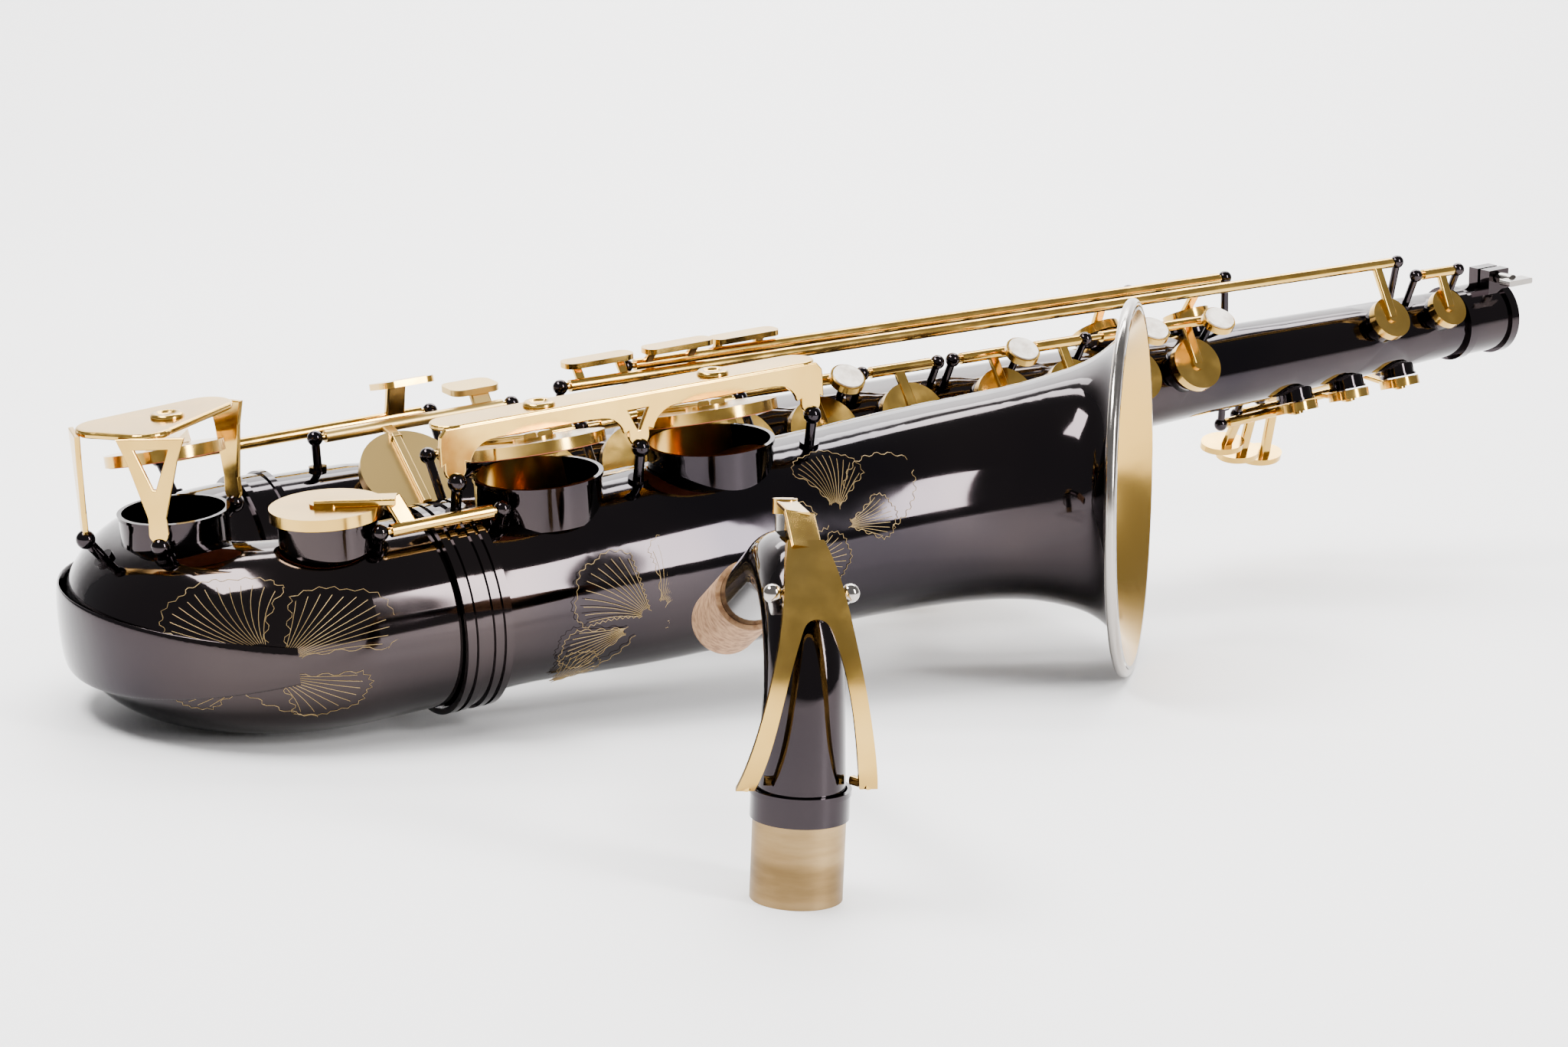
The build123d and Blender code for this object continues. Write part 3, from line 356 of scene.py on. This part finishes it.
def arc(u, v, radius, first, last, steps=10):
    """Points on an arc, in degrees."""
    turns = [radians(first + (last - first) * i / steps) for i in range(steps + 1)]
    return [(u + radius * cos(turn), v + radius * sin(turn)) for turn in turns]


def guard_plate(name, outlines, bevel, place, node, thick=0.0018):
    """Gold plate that stands for a guard's CAD node."""
    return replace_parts(plate(name, outlines, thick, bevel, gold, "horn", place), node)


GUARD_TOP, GUARD_FRONT = 0.0604, BELL_Y - 0.0100
GUARD_LEGS = (0.037, 0.1015, 0.166)
GUARD_ENDS = (0.0322, 0.1708)
FOOT_Z = 0.0435
LEG_HALF = 0.0036
FLARE = 0.0135
FILLET = 0.0085


def leg_outline(u):
    """Lower edge of the web round one leg, from left to right."""
    low, high = FOOT_Z + 0.003, GUARD_TOP - 0.0062
    return ([(u - FLARE, high)] + arc(u - FLARE, high - FILLET, FILLET, 80, 15, 6)[1:] + [(u - LEG_HALF, low + 0.002)]
            + arc(u, low, LEG_HALF, 180, 360, 10) + [(u + LEG_HALF, low + 0.002)]
            + arc(u + FLARE, high - FILLET, FILLET, 165, 100, 6) + [(u + FLARE, high)])


def cut_out(u, v, half, drop, tip=0.0003):
    """Triangular hole with its point downwards."""
    return [(u - half, v), (u + half, v), (u + tip, v - drop), (u - tip, v - drop)]


web = [(0.0325, GUARD_TOP - 0.003)]
for u in GUARD_LEGS:
    web += [(min(max(p, GUARD_ENDS[0]), GUARD_ENDS[1]), q) for p, q in leg_outline(u)]
web += [(0.1705, GUARD_TOP - 0.003), (0.1685, GUARD_TOP - 0.0006), (0.0345, GUARD_TOP - 0.0006)]
window = cut_out(GUARD_LEGS[1], GUARD_TOP - 0.0052, 0.0036, 0.0068)
front = Matrix.Translation((0, GUARD_FRONT, 0)) @ Matrix.Rotation(radians(90), 4, "X")
guard_plate("bell_guard_web", [web, window], 0.0004, front, "bell_key_guard")
top = (arc(0.0395, GUARD_FRONT + 0.0060, 0.0068, 270, 90, 12) + arc(0.1635, GUARD_FRONT + 0.0060, 0.0068, 90, -90, 12))
guard_plate("bell_guard_top", [top], 0.0006, Matrix.Translation((0, 0, GUARD_TOP - 0.0009)), "bell_key_guard")

C_TOP = 0.0664
C_LEGS = ((-0.065, -0.045), (-0.049, -0.0675), (-0.013, -0.036))
C_MIDDLE = (-0.037, -0.050)
C_FOOT = 0.0320
FRONT_LEG = 1
crown = (arc(-0.0555, -0.0475, 0.0095, 100, 230, 12) + arc(-0.0475, -0.0590, 0.0085, 225, 320, 10)
         + arc(-0.0215, -0.0410, 0.0085, -40, 100, 12))
guard_plate("c_guard_crown", [crown], 0.0009, Matrix.Translation((0, 0, C_TOP - 0.0011)), "low_c_guard", 0.0022)
for number, (x, y) in enumerate(C_LEGS):
    away = Vector((x - C_MIDDLE[0], y - C_MIDDLE[1], 0)).normalized()
    across = Vector((-away.y, away.x, 0))
    base = Matrix((across, Vector((0, 0, 1)), away)).transposed().to_4x4()
    wide = 0.0105 if number == FRONT_LEG else 0.0066
    shape = ([(-wide, C_TOP - 0.0012), (-wide * 0.72, C_TOP - 0.009), (-0.0028, C_FOOT + 0.008)]
             + arc(0, C_FOOT + 0.003, 0.0030, 180, 360, 10)
             + [(0.0028, C_FOOT + 0.008), (wide * 0.72, C_TOP - 0.009), (wide, C_TOP - 0.0012)])
    holes = [cut_out(0, C_TOP - 0.0048, 0.0052, 0.0125, 0.0004)] if number == FRONT_LEG else []
    guard_plate("c_guard_leg_%d" % number, [shape] + holes, 0.0004, Matrix.Translation((x, y, 0)) @ base, "low_c_guard")

BUMPER = ((0, 0.0052), (0.0012, 0.0052), (0.0018, 0.0046), (0.0018, 0.0030), (0.0012, 0.0026))
bm = bmesh.new()
for x, y, z in ((*C_MIDDLE, C_TOP), (0.070, GUARD_FRONT + 0.006, GUARD_TOP), (0.133, GUARD_FRONT + 0.006, GUARD_TOP)):
    lathe(bm, (x, y, z - 0.0005), (0, 0, 1), BUMPER, 28)
piece("guard_bumpers", bm, gold, "horn")

# ---------------------------------------------------------------- pads of the stack keys
# Each tone hole: where it is along the body, its radius.
HOLES = {"d": (0.098, 0.014), "e": (0.138, 0.0135), "f": (0.177, 0.0125), "fsharp": (0.213, 0.0115), "g": (0.252, 0.0108),
         "a": (0.294, 0.010), "bis": (0.326, 0.0085), "b": (0.356, 0.0082), "c": (0.386, 0.0078)}
HOLE_ANGLE = radians(25)
KEY_OPEN = radians(-8)
CHIMNEY = 0.0035
for name, (x, radius) in HOLES.items():
    body = "f" if name == "fsharp" else name
    joint = next(j for j in frame["joints"] if j["child"] == body)
    way = Vector((0, -cos(HOLE_ANGLE), sin(HOLE_ANGLE)))
    rim = way * (body_radius(x) + CHIMNEY) + Vector((x, 0, 0))
    bm = bmesh.new()
    lathe(bm, rim, way, ((0.0004, radius + 0.0004), (0.0003, radius + 0.001),
                         (0.0008, radius + 0.0014), (0.0029, radius + 0.0014)), 40)
    pivot = Vector(joint["pos_m"])
    open_turn = (Matrix.Translation(pivot) @ Matrix.Rotation(KEY_OPEN, 4, Vector(joint["axis"]))
                 @ Matrix.Translation(-pivot))
    piece("pad_" + name, bm, pad, body, move=open_turn @ PLACE)

# ---------------------------------------------------------------- camera
IMAGE_WIDTH, FOCAL = 2048, 3878.3
CAMERA_PLACE = (-0.60091, -0.79323, 0.2394)
PITCH, YAW, LEAN = radians(10.61), radians(31.54), radians(2.31)
forward = Vector((sin(YAW) * cos(PITCH), cos(YAW) * cos(PITCH), -sin(PITCH)))
level = Vector((cos(YAW), -sin(YAW), 0))
above = level.cross(forward)
right = level * cos(LEAN) + above * sin(LEAN)
up = above * cos(LEAN) - level * sin(LEAN)
camera = bpy.data.objects.new("camera", bpy.data.cameras.new("camera"))
bpy.context.scene.collection.objects.link(camera)
camera.data.sensor_width = 36
camera.data.lens = FOCAL / IMAGE_WIDTH * camera.data.sensor_width
camera.data.clip_end = 20
camera.matrix_world = Matrix.Translation(CAMERA_PLACE) @ Matrix((right, up, -forward)).transposed().to_4x4()
bpy.context.scene.camera = camera

# ---------------------------------------------------------------- floor, backdrop and lights
floor_look, t, b = principled("floor_look", (0.78, 0.77, 0.765), 0.0, 0.55)
bm = bmesh.new()
SWEEP_START, SWEEP_RADIUS = 1.2, 0.9
curve = [(SWEEP_START + SWEEP_RADIUS * sin(a * pi / 16), SWEEP_RADIUS - SWEEP_RADIUS * cos(a * pi / 16)) for a in range(1, 9)]
rows = [(-3.0, 0.0), (SWEEP_START, 0.0)] + curve + [(SWEEP_START + SWEEP_RADIUS, 3.5)]
rings = [[bm.verts.new((x, y, z)) for x in (-4.0, 4.0)] for y, z in rows]
for a, c in zip(rings, rings[1:]):
    bm.faces.new((a[0], a[1], c[1], c[0]))
mesh = bpy.data.meshes.new("sweep")
bm.to_mesh(mesh)
bm.free()
for face in mesh.polygons:
    face.use_smooth = True
sweep = bpy.data.objects.new("sweep", mesh)
sweep.matrix_world = Matrix.Rotation(-YAW, 4, "Z")
bpy.context.scene.collection.objects.link(sweep)
mesh.materials.append(floor_look)


def lamp(name, place, aim, size, watts, colour=(1, 1, 1)):
    """Soft rectangular lamp pointed at a place."""
    data = bpy.data.lights.new(name, "AREA")
    data.shape = "RECTANGLE"
    data.size, data.size_y = size
    data.energy = watts
    data.color = colour
    obj = bpy.data.objects.new(name, data)
    bpy.context.scene.collection.objects.link(obj)
    obj.location = place
    obj.rotation_euler = (Vector(aim) - Vector(place)).to_track_quat("-Z", "Y").to_euler()
    return obj


lamp("front box", (0.34, -1.08, 0.62), (-0.12, 0.0, 0.05), (0.24, 0.8), 26)
lamp("top box", (-0.68, 0.20, 1.02), (-0.12, 0.0, 0.03), (0.6, 0.3), 22)
lamp("key streak", (0.5, 1.0, 1.15), (0.0, 0.1, 0.05), (1.5, 0.2), 10)
lamp("back wash", (0.6, 1.1, 2.0), (1.0, 2.0, 0.6), (2.4, 0.8), 150)
fill = lamp("high fill", (0.1, -0.2, 2.4), (0.0, 0.0, 0.0), (2.2, 2.2), 120)
fill.visible_glossy = False
world = bpy.data.worlds.new("studio")
bpy.context.scene.world = world
world.use_nodes = True
world.node_tree.nodes["Background"].inputs["Color"].default_value = (0.95, 0.96, 1.0, 1)
world.node_tree.nodes["Background"].inputs["Strength"].default_value = 0.32
